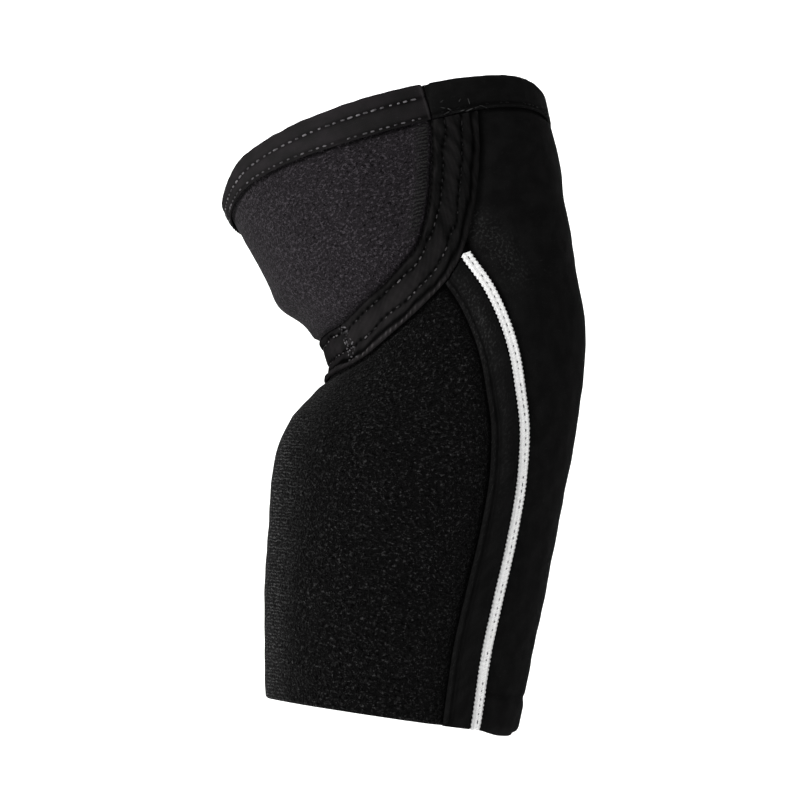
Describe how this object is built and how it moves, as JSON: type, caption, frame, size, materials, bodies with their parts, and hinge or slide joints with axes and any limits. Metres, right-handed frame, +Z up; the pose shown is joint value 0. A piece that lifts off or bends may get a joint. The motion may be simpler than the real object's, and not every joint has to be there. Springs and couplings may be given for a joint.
{
  "type": "elbow brace",
  "caption": "Bent tubular elbow sleeve of foam-backed knit, with curved seam bands, a light side tape and hemmed rims, open at both ends.",
  "frame": {"origin": "middle of the elbow on the sleeve's centre line, where the bent arm holds it", "axes": "+Z up the arm towards the upper rim, +X towards the back of the elbow, -Y towards the near side"},
  "size_m": [0.1288, 0.1068, 0.2287],
  "materials": {
    "charcoal_knit": "heathered charcoal knit, matt",
    "smooth_charcoal": "smooth charcoal stretch cloth, faint sheen",
    "black_terry": "looped black terry knit, matt",
    "black_jersey": "fine black jersey, faint sheen",
    "black_band": "folded black stretch binding",
    "white_tape": "ribbed white woven tape"
  },
  "bodies": {
    "root": {"upper_front_panel": "charcoal_knit", "forearm_panel": "black_terry", "back_panel": "black_jersey", "front_hem": "smooth_charcoal", "back_hem": "black_jersey", "lower_hem": "black_jersey", "crease_band": "smooth_charcoal", "curved_band_near": "black_band", "curved_band_far": "black_band", "side_strip_near": "black_jersey", "side_strip_far": "black_jersey", "white_tape_near": "white_tape", "white_tape_far": "white_tape"}
  },
  "joints": []
}
